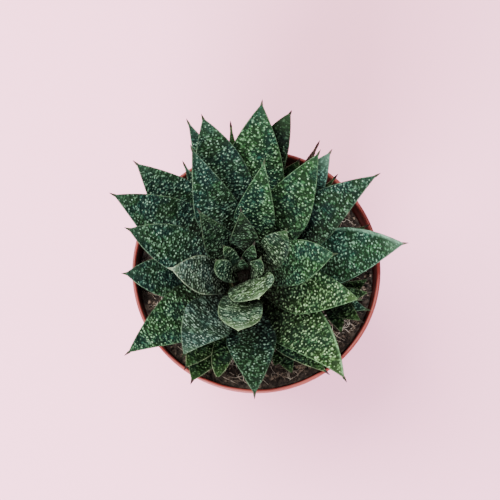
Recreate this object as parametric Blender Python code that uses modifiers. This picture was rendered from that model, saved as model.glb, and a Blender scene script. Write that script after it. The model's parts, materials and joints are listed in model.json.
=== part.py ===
# Potted gasteria: a rosette of thick, warty leaves on a short stem, with two
# young offsets, in a round nursery pot of soil.
# Metres, +Z up. The origin is the centre of the pot's flat base. +Y is the side
# of the pot that the tallest leaves lean towards.

import math

import bmesh
import bpy
from mathutils import Matrix, Vector
from mathutils.bvhtree import BVHTree

MM = 0.001
GAP = 0.3 * MM                      # air left between pieces that touch

# Pot
POT_HEIGHT = 95 * MM
RIM_RADIUS = 60 * MM
COLLAR_HEIGHT = 15 * MM             # straight band under the rim
COLLAR_DRAFT = 1.2 * MM             # how much the band narrows on its way down
SHOULDER = 1.8 * MM                 # step in below the band
BASE_RADIUS = 42 * MM
WALL = 1.2 * MM
LIP_WIDTH = 1.7 * MM
FLOOR = 2.0 * MM
FOOT_CHAMFER = 1.5 * MM
DRAIN_HOLES = 6
DRAIN_RADIUS = 4 * MM
DRAIN_CIRCLE = 27 * MM
DRAIN_SIDES = 12
POT_SIDES = 48

# Soil
SOIL_LEVEL = POT_HEIGHT - 11 * MM
SOIL_LUMP = 0.9 * MM                # height of the lumps on its surface
SOIL_RING_STEP = 6.5 * MM

# Stem, which stands in the soil off the pot's centre
STEM_X = -5.8 * MM
STEM_Y = -7.5 * MM
STEM_RADIUS = 11.5 * MM             # at soil level
STEM_TOP_RADIUS = 6.5 * MM
STEM_SHAFT = 23 * MM                # the height over which it narrows
ROOT_DEPTH = 16 * MM
ROOT_END_RADIUS = 5 * MM
STEM_SIDES = 20

# Crown: the growing tip on top of the stem, with the youngest leaves round it
CROWN_RADIUS = 6.2 * MM
CROWN_HEIGHT = 6 * MM
CROWN_SIDES = 12
CROWN_LEAF_RADIUS = 2.2 * MM        # where its leaves start, from the axis
CROWN_LEAF_FOOT = 2.5 * MM          # and over the stem's top

# Leaf outline, as shares of the leaf's own length and width
WIDEST_AT = 0.5                     # distance from the tip to the widest point
BLUNT_WIDEST_AT = 0.4
TIP_POWER = 1.3                     # 1 is a straight-sided tip, more is rounder
BLUNT_TIP_POWER = 3.4
BASE_SHARE = 0.28                   # width at the stem
BASE_POWER = 1.6                    # how late the outline narrows towards the stem
SPINE_LENGTH = 2.6 * MM             # hard point at the very tip
BLUNT_SPINE_CUT = 0.7               # share of it that a fully blunt tip lacks
SPINE_HALF_WIDTH = 0.45 * MM

# Leaf section: nearly flat above with raised margins, and a rounded keel below
LEAF_THICKNESS = 2.8 * MM
BASE_THINNING = 0.3                 # share of the thickness lost at the stem
BASE_THINNING_END = 0.35            # and how far along the leaf that reaches
TIP_THINNING = 0.7
TIP_THINNING_POWER = 2.5
KEEL_SHOULDER = 0.72                # thickness half-way to a margin, as a share of the middle's
LEAF_CUP = 0.035                    # rise of the margins over the middle, as a share of the width
LEAF_CUP_POWER = 0.8
SPRING_SHARE = 0.35                 # how far a springing leaf's bend moves in and up
ARCH_SHARE = 0.03                   # rise of an ordinary leaf's middle, as a share of its reach
ROLL_END = 0.9                      # where along the leaf its roll is complete

# Studs: the leaf's warts, drawn larger than life
STUD_HEIGHT = 0.45 * MM
STUD_UNDER_SHARE = 0.5              # how much of that height they have under the leaf
STUD_FADE_WIDTH = 3.0 * MM          # half-width below which they get lower
STUD_LEAST_WIDTH = 1.5 * MM         # and below which there are none

# Mesh of a leaf: cross sections along it, and faces across its upper side
LEAF_MESH = (14, 6)
CROWN_LEAF_MESH = (8, 4)
OFFSET_LEAF_MESH = (6, 4)

ROOT_TRIES = 4
LIFT_STEP = 0.5 * MM                # how finely a leaf is raised to clear the others
FOOT_LIFT_WEIGHT = 2                # a leaf tilts its tip up sooner than its foot climbs

# The lowest height of each ring of leaves on the stem, over the soil
RING_FOOT = {
    "low": 2.5 * MM,
    "outer": 6 * MM,
    "middle": 10 * MM,
    "upper": 15 * MM,
    "inner": 20 * MM,
}


def leaf(azimuth, reach, tip, width, bow=0, roll=0, blunt=0, widest=None, thick=None, spring=0, base=None):
    """One leaf. azimuth is in degrees round the stem from +X, and lengths are in mm. reach runs from the
    stem's axis to the tip, tip is the tip's height over the rim, bow bends the leaf sideways, blunt from
    0 to 1 rounds its tip, widest is where it is widest, as a share of its length from the tip, and spring
    from 0 to 1 makes it rise before it leans out."""
    return {
        "azimuth": math.radians(azimuth),
        "reach": reach * MM,
        "tip": tip * MM,
        "width": width * MM,
        "arch": ARCH_SHARE * reach * MM,
        "bow": bow * MM,
        "roll": math.radians(roll),
        "blunt": blunt,
        "spine": SPINE_LENGTH * (1 - BLUNT_SPINE_CUT * blunt),
        "widest": WIDEST_AT + (BLUNT_WIDEST_AT - WIDEST_AT) * blunt if widest is None else widest,
        "thick": LEAF_THICKNESS if thick is None else thick * MM,
        "spring": spring,
        "base": BASE_SHARE if base is None else base,
    }


# Leaves from the lowest ring to the growing tip, in the order in which they stack
LEAVES = {
    "low": [
        leaf(312, 60, 3, 17, bow=-1.5),
        leaf(176, 59, 4, 20, bow=-0.7, blunt=0.3),
        leaf(243, 55, 4, 17, bow=-1.2, blunt=0.3),
        leaf(66, 67, 6, 16, bow=1.5, blunt=0.5, thick=2.2),
        leaf(117, 66.5, 8, 11, thick=2.2),
        leaf(49, 69, 8, 10, thick=2.2),
        leaf(95, 78.5, 12, 9, thick=2.2),
        leaf(61, 74, 20, 9, thick=1.6),
        leaf(237, 51, 6, 15, blunt=0.3),
        leaf(255.5, 49, 4, 10, bow=-1.2, blunt=0.8, thick=2.2),
        leaf(25, 67, 4, 13, thick=2.2),
    ],
    "outer": [
        leaf(133, 78.5, 14, 30, bow=-2.2),
        leaf(12, 79, 15, 27, bow=2.8, blunt=0.15),
        leaf(314, 68, 13, 26, bow=4.3, widest=0.62),
        leaf(275, 57, 12, 23.5, bow=1, widest=0.56),
        leaf(214, 66, 13, 28, bow=-2, widest=0.64),
        leaf(74, 82, 24, 18, bow=5, roll=-12, blunt=0.6),
        leaf(55, 72, 24, 20, blunt=0.25),
        leaf(110, 81, 18, 18, bow=-2.5),
    ],
    "middle": [
        leaf(148, 75, 19, 29, bow=-3.2),
        leaf(348, 56, 19, 23.5, bow=0.9, blunt=0.1, widest=0.6),
        leaf(36, 78, 22, 23, bow=3),
        leaf(84, 82.5, 28, 30, bow=0.8, blunt=0.15),
        leaf(235, 48, 24, 24, bow=-2.5, widest=0.55),
        leaf(105, 76.5, 28, 27, bow=-2, blunt=0.2),
    ],
    "upper": [
        leaf(159, 59, 26, 21, bow=-1, blunt=0.3, spring=0.2),
        leaf(11, 44, 28, 21, bow=1.5, blunt=0.3, spring=0.4),
        leaf(58, 67, 32, 23.5, bow=-0.6, blunt=0.1, spring=0.2),
        leaf(113, 63, 34, 21, spring=0.2),
        leaf(79, 51, 38, 19, spring=0.3),
    ],
    "inner": [
        leaf(180, 34, 36, 18, bow=1.2, blunt=0.3, spring=0.6, base=0.6),
        leaf(265, 27.5, 28, 20, blunt=1.1, spring=0.8, base=0.6),
        leaf(128, 34, 40, 15, bow=0.5, spring=0.6, base=0.5),
        leaf(42, 26.5, 38, 14, bow=-2, blunt=0.5, spring=0.8, base=0.5),
        leaf(93, 26, 40, 13, bow=-1, spring=0.7, base=0.5),
    ],
}

# The youngest leaves; here tip is the height over the stem's top
CROWN_LEAVES = [
    leaf(160, 13.5, 20, 9, bow=2.5, blunt=1, thick=2.0, spring=0.5, base=0.5),
    leaf(39, 10.3, 18, 8, bow=-2, blunt=0.4, thick=1.8, spring=0.5, base=0.5),
    leaf(130, 14.5, 20, 6, blunt=0.8, thick=1.8, spring=0.5, base=0.5),
    leaf(68, 14, 20, 7, blunt=0.2, thick=1.8, spring=0.5, base=0.5),
    leaf(98, 6.5, 17, 5, thick=1.6, spring=0.5, base=0.5),
    leaf(298, 15, 16, 22, blunt=1, thick=2.0, spring=0.9, base=0.7),
]

# Offsets: where each stands on the soil, in mm, and its small leaves
OFFSETS = [
    {
        "x": 34, "y": -13.5, "leaves": [
            leaf(25, 24, -3, 8, bow=-1), leaf(340, 22, 1.4, 8), leaf(5, 22, 0, 8),
            leaf(322, 22, 1.6, 9), leaf(290, 21, -4, 8, bow=1), leaf(70, 15, -3, 7),
        ]
    },
    {
        "x": 12, "y": -37.5, "leaves": [
            leaf(291, 16, -4, 7), leaf(250, 12, -5, 6), leaf(335, 12, -5, 6), leaf(60, 9, -4, 5),
        ]
    },
]
OFFSET_STUB_RADIUS = 2.4 * MM
OFFSET_STUB_DEPTH = 5 * MM
OFFSET_STUB_RISE = 3 * MM
OFFSET_STUB_SIDES = 10
OFFSET_THICKNESS = 1.8 * MM
OFFSET_LEAF_START = 0.7 * MM        # from the stub's axis
OFFSET_LEAF_FOOT = 2.4 * MM         # over the soil, for the first leaf
OFFSET_LEAF_STEP = 0.35 * MM        # how much higher each next leaf starts

# Colours of the real thing, linear, with their roughness
FINISHES = {
    "pot": ((0.48, 0.105, 0.075), 0.5),
    "soil": ((0.022, 0.012, 0.010), 0.95),
    "stem": ((0.16, 0.19, 0.09), 0.7),
    "leaf": ((0.028, 0.088, 0.046), 0.5),
    "old leaf": ((0.030, 0.062, 0.018), 0.55),
    "young leaf": ((0.085, 0.17, 0.075), 0.5),
}


def clear_scene():
    for old in list(bpy.data.objects):
        bpy.data.objects.remove(old)


def new_collection(name):
    made = bpy.data.collections.new(name)
    bpy.context.scene.collection.children.link(made)
    return made


def finish(name):
    """The named material, made on its first use."""
    found = bpy.data.materials.get(name)
    if found:
        return found
    colour, roughness = FINISHES[name]
    made = bpy.data.materials.new(name)
    made.use_nodes = True
    shader = made.node_tree.nodes["Principled BSDF"]
    shader.inputs["Base Color"].default_value = (*colour, 1)
    shader.inputs["Roughness"].default_value = roughness
    shader.inputs["Metallic"].default_value = 0
    return made


def add_object(name, mesh, collection, material=None):
    made = bpy.data.objects.new(name, mesh)
    collection.objects.link(made)
    if material:
        mesh.materials.append(finish(material))
    return made


def mesh_from_points(name, points, faces):
    """A closed mesh with its faces pointing out."""
    shape = bmesh.new()
    corners = [shape.verts.new(p) for p in points]
    for face in faces:
        shape.faces.new([corners[i] for i in face])
    bmesh.ops.recalc_face_normals(shape, faces=shape.faces)
    mesh = bpy.data.meshes.new(name)
    shape.to_mesh(mesh)
    shape.free()
    return mesh


def turned(name, profile, sides, collection, material, centre=(0, 0)):
    """Turns (radius, height) points round, which run from the axis over the top and down the outside."""
    mesh = bpy.data.meshes.new(name)
    mesh.from_pydata([(r, 0, z) for r, z in profile], [(i, i + 1) for i in range(len(profile) - 1)], [])
    made = add_object(name, mesh, collection, material)
    made.location = (centre[0], centre[1], 0)
    screw = made.modifiers.new("turn", "SCREW")
    screw.steps = sides
    screw.render_steps = sides
    screw.use_merge_vertices = True
    screw.merge_threshold = 0.00001
    screw.use_smooth_shade = True
    return made


def applied(made):
    """Turns an object's modifiers into its own mesh."""
    bpy.context.view_layer.update()
    ready = bpy.data.meshes.new_from_object(made.evaluated_get(bpy.context.evaluated_depsgraph_get()))
    made.modifiers.clear()
    made.data = ready
    return made


def cut(made, cutters, name):
    boolean = made.modifiers.new(name, "BOOLEAN")
    boolean.operation = "DIFFERENCE"
    boolean.operand_type = "COLLECTION"
    boolean.collection = cutters
    boolean.solver = "EXACT"


def add_cutter(name, radius, low, high, x, y, sides, collection):
    shape = bmesh.new()
    middle = Matrix.Translation((x, y, (low + high) / 2))
    bmesh.ops.create_cone(
        shape, cap_ends=True, segments=sides, radius1=radius, radius2=radius, depth=high - low, matrix=middle
    )
    mesh = bpy.data.meshes.new(name)
    shape.to_mesh(mesh)
    shape.free()
    made = add_object(name, mesh, collection)
    made.hide_render = True
    made.display_type = "WIRE"


def pot_outside(height):
    """The radius of the pot's outer wall below the band."""
    neck = RIM_RADIUS - COLLAR_DRAFT - SHOULDER
    share = height / (POT_HEIGHT - COLLAR_HEIGHT)
    return BASE_RADIUS + (neck - BASE_RADIUS) * share


def add_pot(collection):
    """The pot, with a band under its rim, a rounded lip and drain holes in its floor."""
    band_low = POT_HEIGHT - COLLAR_HEIGHT
    band_radius = RIM_RADIUS - COLLAR_DRAFT
    neck_low = band_low - SHOULDER
    profile = [
        (0, FLOOR),
        (BASE_RADIUS - WALL, FLOOR),
        (pot_outside(neck_low) - WALL, neck_low - WALL),
        (band_radius - WALL, band_low),
        (RIM_RADIUS - LIP_WIDTH, POT_HEIGHT - 1.2 * MM),
        (RIM_RADIUS - LIP_WIDTH + 0.5 * MM, POT_HEIGHT - 0.2 * MM),
        (RIM_RADIUS - LIP_WIDTH / 2, POT_HEIGHT),
        (RIM_RADIUS - 0.5 * MM, POT_HEIGHT - 0.2 * MM),
        (RIM_RADIUS, POT_HEIGHT - 0.9 * MM),
        (RIM_RADIUS, POT_HEIGHT - 2.6 * MM),
        (RIM_RADIUS - 0.7 * MM, POT_HEIGHT - 3.0 * MM),
        (band_radius, band_low),
        (pot_outside(neck_low), neck_low),
        (BASE_RADIUS, FOOT_CHAMFER),
        (BASE_RADIUS - FOOT_CHAMFER, 0),
        (0, 0),
    ]
    pot = turned("pot", profile, POT_SIDES, collection, "pot")
    drains = new_collection("drain cutters")
    for i in range(DRAIN_HOLES):
        turn = 2 * math.pi * i / DRAIN_HOLES
        x, y = DRAIN_CIRCLE * math.cos(turn), DRAIN_CIRCLE * math.sin(turn)
        add_cutter(f"drain cutter {i + 1}", DRAIN_RADIUS, -FLOOR, 2 * FLOOR, x, y, DRAIN_SIDES, drains)
    cut(pot, drains, "drain holes")
    return pot


def soil_relief(x, y):
    """Lumps of the soil's surface, up and down from its level."""
    u, v = x / MM, y / MM
    broad = math.sin(0.21 * u + 0.8) * math.cos(0.17 * v - 0.4)
    fine = math.sin(0.83 * u - 0.46 * v) * math.cos(0.71 * v + 0.39 * u)
    return SOIL_LUMP * (0.45 * broad + 0.55 * fine)


def add_soil(collection):
    """The soil down to the pot's floor, lumpy on top, with plain holes for the stem and the offsets."""
    band_low = POT_HEIGHT - COLLAR_HEIGHT
    neck_low = band_low - SHOULDER
    edge = RIM_RADIUS - COLLAR_DRAFT - WALL - GAP
    rings = [i * SOIL_RING_STEP for i in range(int(edge / SOIL_RING_STEP) + 1)]
    profile = [(0, FLOOR + GAP), (BASE_RADIUS - WALL - 2 * GAP, FLOOR + GAP)]
    profile.append((pot_outside(neck_low) - WALL - GAP, neck_low - WALL + GAP))
    profile.append((edge, band_low + GAP))
    profile.append((edge, SOIL_LEVEL))
    profile += [(r, SOIL_LEVEL) for r in reversed(rings)]
    soil = applied(turned("soil", profile[::-1], POT_SIDES, collection, "soil"))
    for corner in soil.data.vertices:
        x, y, z = corner.co
        if abs(z - SOIL_LEVEL) < 0.01 * MM and math.hypot(x, y) < edge - MM:
            corner.co.z += soil_relief(x, y)
    holes = new_collection("soil cutters")
    top = POT_HEIGHT
    add_cutter(
        "stem hole", STEM_RADIUS + GAP, SOIL_LEVEL - ROOT_DEPTH - GAP, top, STEM_X, STEM_Y, STEM_SIDES, holes
    )
    for i, offset in enumerate(OFFSETS):
        x, y = offset["x"] * MM, offset["y"] * MM
        low = SOIL_LEVEL - OFFSET_STUB_DEPTH - GAP
        name = f"offset hole {i + 1}"
        add_cutter(name, OFFSET_STUB_RADIUS + GAP, low, top, x, y, OFFSET_STUB_SIDES, holes)
    cut(soil, holes, "holes")
    return soil


def stem_radius(height):
    """The stem's radius at a height over the ground that the pot stands on."""
    share = min(1, max(0, (height - SOIL_LEVEL) / STEM_SHAFT))
    return STEM_RADIUS + (STEM_TOP_RADIUS - STEM_RADIUS) * share


def add_stem(collection, top):
    profile = [
        (0, top),
        (STEM_TOP_RADIUS, top),
        (STEM_TOP_RADIUS, SOIL_LEVEL + STEM_SHAFT),
        (STEM_RADIUS, SOIL_LEVEL),
        (STEM_RADIUS, SOIL_LEVEL - 6 * MM),
        (ROOT_END_RADIUS, SOIL_LEVEL - ROOT_DEPTH),
        (0, SOIL_LEVEL - ROOT_DEPTH),
    ]
    return turned("stem", profile, STEM_SIDES, collection, "stem", (STEM_X, STEM_Y))


def add_crown(collection, stem_top):
    """The growing tip and the youngest leaves, grown as one."""
    low = stem_top + GAP
    dome = [
        (0, low + CROWN_HEIGHT),
        (CROWN_RADIUS * 0.45, low + CROWN_HEIGHT * 0.85),
        (CROWN_RADIUS, low + CROWN_HEIGHT * 0.2),
        (CROWN_RADIUS, low),
        (0, low),
    ]
    pieces = [applied(turned("crown", dome, CROWN_SIDES, collection, None, (STEM_X, STEM_Y)))]
    for i, form in enumerate(CROWN_LEAVES):
        root = (CROWN_LEAF_RADIUS, low + CROWN_LEAF_FOOT, low + form["tip"])
        points, faces = leaf_solid(form, (STEM_X, STEM_Y), root, CROWN_LEAF_MESH)
        mesh = mesh_from_points("crown leaf", points, faces)
        pieces.append(add_object(f"crown leaf {i + 1}", mesh, collection))
    return fused("crown", pieces, collection, "young leaf")


def half_width(share, form):
    """Half the blade's width; share runs from 0 at the stem to 1 at the spine's root."""
    from_tip = 1 - share
    widest = form["widest"]
    power = TIP_POWER + (BLUNT_TIP_POWER - TIP_POWER) * form["blunt"]
    if from_tip < widest:
        full = 1 - (1 - from_tip / widest) ** power
    else:
        full = 1 - (1 - form["base"]) * ((from_tip - widest) / (1 - widest)) ** BASE_POWER
    return max(SPINE_HALF_WIDTH, full * form["width"] / 2)


def depth_under(share, form):
    """The blade's thickness at its middle."""
    base = 1 - BASE_THINNING * max(0, 1 - share / BASE_THINNING_END)
    return form["thick"] * base * (1 - TIP_THINNING * share ** TIP_THINNING_POWER)


def stud_height(half, inner):
    """The height of the studs at a section; inner is false for the first and the last."""
    if not inner or half < STUD_LEAST_WIDTH:
        return 0
    return STUD_HEIGHT * min(1, half / STUD_FADE_WIDTH)


def midline(form, root, t):
    """Point and direction of the blade's middle line, t from 0 at the stem to 1 at the tip.
    root is (distance from the axis, height) at the stem, then the tip's height."""
    distance, foot, tip = root
    ends = (Vector((distance, 0, foot)), Vector((form["reach"], 0, tip)))
    swing = SPRING_SHARE * form["spring"]
    bend_out = distance + (form["reach"] - distance) * (0.5 - swing)
    bend = Vector((bend_out, 0, foot + (tip - foot) * (0.5 + swing) + form["arch"]))
    point = ends[0] * (1 - t) ** 2 + bend * 2 * t * (1 - t) + ends[1] * t ** 2
    along = (bend - ends[0]) * 2 * (1 - t) + (ends[1] - bend) * 2 * t
    point.y += form["bow"] * 4 * t * (1 - t)
    along.y += form["bow"] * 4 * (1 - 2 * t)
    return point, along.normalized()


def leaf_points(form, root, rings, columns, grow=0):
    """The blade's cross sections from the stem to the spine, then the tip.
    Each runs over the upper face from one margin to the other and back under the keel."""
    length = math.hypot(form["reach"] - root[0], root[2] - root[1])
    spine = form["spine"] / length
    sections = []
    for k in range(rings + 1):
        share = k / rings
        inner = 0 < k < rings
        point, along = midline(form, root, share * (1 - spine))
        level = Vector((-along.y, along.x, 0)).normalized()
        rolled = form["roll"] * math.sin(math.pi / 2 * min(1, share / ROLL_END))
        side = Matrix.Rotation(rolled, 3, along) @ level
        up = along.cross(side)
        half = half_width(share, form) + grow
        cup = LEAF_CUP * form["width"] * math.sin(math.pi * share) ** LEAF_CUP_POWER if inner else 0
        stud = stud_height(half, inner)
        section = []
        for j in range(columns + 1):
            v = 1 - 2 * j / columns
            raised = stud if 0 < j < columns and (j + k) % 2 == 0 else 0
            section.append(point + side * half * v + up * (cup * v * v + raised + grow * (1 - v * v)))
        under = depth_under(share, form) + grow
        for j, v in enumerate((-0.5, 0, 0.5)):
            depth = under * (1 if v == 0 else KEEL_SHOULDER)
            raised = STUD_UNDER_SHARE * stud if (j + k) % 2 == 0 else 0
            section.append(point + side * half * v + up * (cup * v * v - depth - raised))
        sections.append(section)
    tip, _ = midline(form, root, 1)
    return sections, tip


def leaf_solid(form, centre, root, mesh_size, grow=0):
    """Corner points and faces of one leaf that grows out of an upright axis at centre."""
    rings, columns = mesh_size
    sections, tip = leaf_points(form, root, rings, columns, grow)
    place = Matrix.Translation((centre[0], centre[1], 0)) @ Matrix.Rotation(form["azimuth"], 4, "Z")
    points = [place @ p for section in sections for p in section] + [place @ tip]
    around = len(sections[0])
    faces = [tuple(range(around))]
    for k in range(rings):
        for j in range(around):
            a, b = k * around + j, k * around + (j + 1) % around
            c, d = b + around, a + around
            if (j + k) % 2 == 0:
                faces += [(a, b, d), (b, c, d)]     # the fold joins low corners: each stud is a pyramid
            else:
                faces += [(a, b, c), (a, c, d)]
    last = rings * around
    faces += [(last + j, last + (j + 1) % around, len(points) - 1) for j in range(around)]
    return points, faces


def tree_of(made):
    bpy.context.view_layer.update()
    shape = bmesh.new()
    shape.from_object(made, bpy.context.evaluated_depsgraph_get())
    shape.transform(made.matrix_world)
    tree = BVHTree.FromBMesh(shape)
    shape.free()
    return tree


def root_distance(form, foot, tip):
    """How far from the stem's axis a blade starts: out until each corner of its base clears the stem."""
    distance = stem_radius(foot) + GAP
    for _ in range(ROOT_TRIES):
        sections, _ = leaf_points(form, (distance, foot, tip), 1, LEAF_MESH[1])
        distance += max(0, max(stem_radius(p.z) + GAP - math.hypot(p.x, p.y) for p in sections[0]))
    return distance


def lifts():
    """Pairs of steps by which a leaf's foot and tip may be raised, the smallest first."""
    total = 0
    while True:
        for foot_steps in range(total // FOOT_LIFT_WEIGHT + 1):
            tip_steps = total - FOOT_LIFT_WEIGHT * foot_steps
            yield foot_steps * LIFT_STEP, (foot_steps + tip_steps) * LIFT_STEP
        total += 1


def stacked_leaf(form, ring, obstacles):
    """Raises a leaf in small steps until it clears all that is there, and returns its points, faces and
    foot height."""
    for foot_lift, tip_lift in lifts():
        foot = SOIL_LEVEL + RING_FOOT[ring] + foot_lift
        tip = POT_HEIGHT + form["tip"] + tip_lift
        root = (root_distance(form, foot, tip), foot, tip)
        trial = BVHTree.FromPolygons(*leaf_solid(form, (STEM_X, STEM_Y), root, LEAF_MESH, grow=GAP))
        if not any(trial.overlap(other) for other in obstacles):
            return *leaf_solid(form, (STEM_X, STEM_Y), root, LEAF_MESH), foot


def fused(name, pieces, collection, material):
    """One solid from several that grow into each other."""
    joining = new_collection(name + " pieces")
    for piece in pieces[1:]:
        collection.objects.unlink(piece)
        joining.objects.link(piece)
    union = pieces[0].modifiers.new("join", "BOOLEAN")
    union.operation = "UNION"
    union.operand_type = "COLLECTION"
    union.collection = joining
    union.solver = "EXACT"
    made = applied(pieces[0])
    made.name = name
    made.data.name = name
    made.data.materials.clear()
    made.data.materials.append(finish(material))
    for piece in list(joining.objects):
        bpy.data.objects.remove(piece)
    bpy.data.collections.remove(joining)
    return made


def add_offset(number, offset, collection):
    """A young plant: a short stub in the soil with its first leaves, grown as one."""
    name = f"offset_{number}"
    x, y = offset["x"] * MM, offset["y"] * MM
    top = SOIL_LEVEL + OFFSET_STUB_RISE
    stub = [
        (0, top + MM),
        (OFFSET_STUB_RADIUS * 0.7, top),
        (OFFSET_STUB_RADIUS, SOIL_LEVEL),
        (OFFSET_STUB_RADIUS * 0.6, SOIL_LEVEL - OFFSET_STUB_DEPTH),
        (0, SOIL_LEVEL - OFFSET_STUB_DEPTH),
    ]
    pieces = [applied(turned(name, stub, OFFSET_STUB_SIDES, collection, None, (x, y)))]
    for i, form in enumerate(offset["leaves"]):
        grown = dict(form, thick=OFFSET_THICKNESS)
        foot = SOIL_LEVEL + OFFSET_LEAF_FOOT + i * OFFSET_LEAF_STEP
        root = (OFFSET_LEAF_START, foot, POT_HEIGHT + form["tip"])
        points, faces = leaf_solid(grown, (x, y), root, OFFSET_LEAF_MESH)
        mesh = mesh_from_points(name, points, faces)
        pieces.append(add_object(f"{name} leaf {i + 1}", mesh, collection))
    return fused(name, pieces, collection, "old leaf")


def main():
    clear_scene()
    plant = new_collection("potted gasteria")
    pot = add_pot(plant)
    soil = add_soil(plant)
    offsets = [add_offset(i + 1, offset, plant) for i, offset in enumerate(OFFSETS)]
    obstacles = [tree_of(made) for made in [pot, soil, *offsets]]
    highest = SOIL_LEVEL
    for ring, forms in LEAVES.items():
        material = {"low": "old leaf", "inner": "young leaf"}.get(ring, "leaf")
        for i, form in enumerate(forms):
            points, faces, foot = stacked_leaf(form, ring, obstacles)
            obstacles.append(BVHTree.FromPolygons(points, faces))
            name = f"leaf_{ring}_{i + 1}"
            add_object(name, mesh_from_points(name, points, faces), plant, material)
            highest = max(highest, foot)
    add_stem(plant, highest)
    add_crown(plant, highest)


main()
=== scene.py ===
# Potted gasteria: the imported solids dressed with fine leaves, raised warts, crumbly soil and a moulded pot.
# Lengths in the settings are millimetres unless a note says otherwise; the frame itself is in metres.

import json
import math

import bmesh
import bpy
import numpy as np
from mathutils import Matrix, Vector, noise

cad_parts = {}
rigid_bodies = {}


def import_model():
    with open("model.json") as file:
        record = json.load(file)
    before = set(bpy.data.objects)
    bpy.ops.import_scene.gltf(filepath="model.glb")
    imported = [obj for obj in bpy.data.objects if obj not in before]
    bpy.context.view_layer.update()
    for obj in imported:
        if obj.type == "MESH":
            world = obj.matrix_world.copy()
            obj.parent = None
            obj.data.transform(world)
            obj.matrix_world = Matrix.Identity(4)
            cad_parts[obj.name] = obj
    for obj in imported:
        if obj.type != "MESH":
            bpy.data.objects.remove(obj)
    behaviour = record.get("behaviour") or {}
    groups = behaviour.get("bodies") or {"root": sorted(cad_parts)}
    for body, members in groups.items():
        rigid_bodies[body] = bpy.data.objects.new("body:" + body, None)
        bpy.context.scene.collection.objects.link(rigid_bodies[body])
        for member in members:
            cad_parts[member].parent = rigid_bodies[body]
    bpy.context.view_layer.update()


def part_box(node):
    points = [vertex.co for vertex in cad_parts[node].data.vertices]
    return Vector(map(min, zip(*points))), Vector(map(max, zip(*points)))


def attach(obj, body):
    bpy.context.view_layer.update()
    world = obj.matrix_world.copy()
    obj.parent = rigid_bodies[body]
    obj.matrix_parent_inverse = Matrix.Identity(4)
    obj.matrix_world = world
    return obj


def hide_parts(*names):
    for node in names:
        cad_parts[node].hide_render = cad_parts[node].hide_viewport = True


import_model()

mm = 0.001
stemAxis = np.array([-5.8, -7.5]) * mm  # where the stem stands in the pot
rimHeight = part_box("pot")[1][2]
soilHeight = rimHeight - 11 * mm
print("frame loaded, rim at", round(rimHeight / mm, 1), "mm")


# Meshes from arrays

def makePiece(name, arrays, material):
    # arrays are points, quads, triangles and, for leaves, marks
    points, quads, triangles, *marks = arrays
    corners = np.concatenate([np.ravel(quads), np.ravel(triangles)]).astype(np.int32)
    totals = np.concatenate([np.full(len(quads), 4), np.full(len(triangles), 3)])
    starts = np.concatenate([[0], np.cumsum(totals)[:-1]]).astype(np.int32)
    mesh = bpy.data.meshes.new(name)
    mesh.vertices.add(len(points))
    mesh.vertices.foreach_set("co", np.asarray(points, dtype=np.float32).ravel())
    mesh.loops.add(len(corners))
    mesh.loops.foreach_set("vertex_index", corners)
    mesh.polygons.add(len(totals))
    mesh.polygons.foreach_set("loop_start", starts)
    mesh.polygons.foreach_set("use_smooth", np.ones(len(totals), dtype=bool))
    mesh.update(calc_edges=True)
    if marks:
        painted = mesh.attributes.new("marks", "FLOAT_COLOR", "POINT")
        painted.data.foreach_set("color", marks[0][:, :4].astype(np.float32).ravel())
        placed = mesh.attributes.new("place", "FLOAT_VECTOR", "POINT")
        placed.data.foreach_set("vector", marks[0][:, 4:].astype(np.float32).ravel())
    mesh.materials.append(material)
    piece = bpy.data.objects.new(name, mesh)
    bpy.context.scene.collection.objects.link(piece)
    return piece


def joinArrays(parts):
    # corner numbers are moved on past the earlier parts
    shift = 0
    moved = []
    for points, quads, triangles, marks in parts:
        moved.append((points, quads + shift, triangles + shift, marks))
        shift += len(points)
    return [np.concatenate(arrays) for arrays in zip(*moved)]


def roundTurns(count):
    return np.arange(count) * 2 * math.pi / count


def ringFaces(rings, sides, first=0, down=False):
    # the rings' corner numbers, the same one side on, and the faces between each ring and the next;
    # down turns the faces over, for rings that run down a body
    index = first + np.arange(rings * sides).reshape(rings, sides)
    after = np.roll(index, -1, axis=1)
    corners = [index[:-1], after[:-1], after[1:], index[1:]]
    if down:
        corners = [corners[k] for k in (0, 3, 2, 1)]
    return index, after, np.stack(corners, axis=-1).reshape(-1, 4)


def markRows(*columns):
    # wart, margin, spine and share of the length, then the place on the blade as along, across and side
    return np.stack(np.broadcast_arrays(*columns), axis=-1).reshape(-1, 7)


# Shader node groups

def newNode(tree, kind, settings=None, family="ShaderNode"):
    # the nodes stand in rows, in the order in which they are made
    count = len(tree.nodes)
    node = tree.nodes.new(family + kind)
    node.location = (240 * (count % 6), -300 * (count // 6))
    for key, value in (settings or {}).items():
        setattr(node, key, value)
    return node


def feed(socket, value):
    # a socket is linked; a number, vector or colour is set
    if isinstance(value, bpy.types.NodeSocket):
        socket.id_data.links.new(value, socket)
    elif socket.type == "RGBA":
        socket.default_value = (*value, 1)
    else:
        socket.default_value = value


def addNode(tree, kind, settings=None, **inputs):
    node = newNode(tree, kind, settings)
    for label, value in inputs.items():
        feed(node.inputs[label.replace("_", " ")], value)
    return node.outputs


def mathNode(tree, operation, *values, clamp=False):
    node = newNode(tree, "Math", {"operation": operation, "use_clamp": clamp})
    for socket, value in zip(node.inputs, values):
        feed(socket, value)
    return node.outputs[0]


def mixColour(tree, factor, first, second):
    node = newNode(tree, "Mix", {"data_type": "RGBA"})
    for number, value in ((0, factor), (6, first), (7, second)):
        feed(node.inputs[number], value)
    return node.outputs[2]


def spread(tree, value, low, high):
    # the stretch from low to high, spread smoothly over 0 to 1
    smooth = {"interpolation_type": "SMOOTHSTEP"}
    return addNode(tree, "MapRange", smooth, Value=value, From_Min=low, From_Max=high)["Result"]


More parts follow.
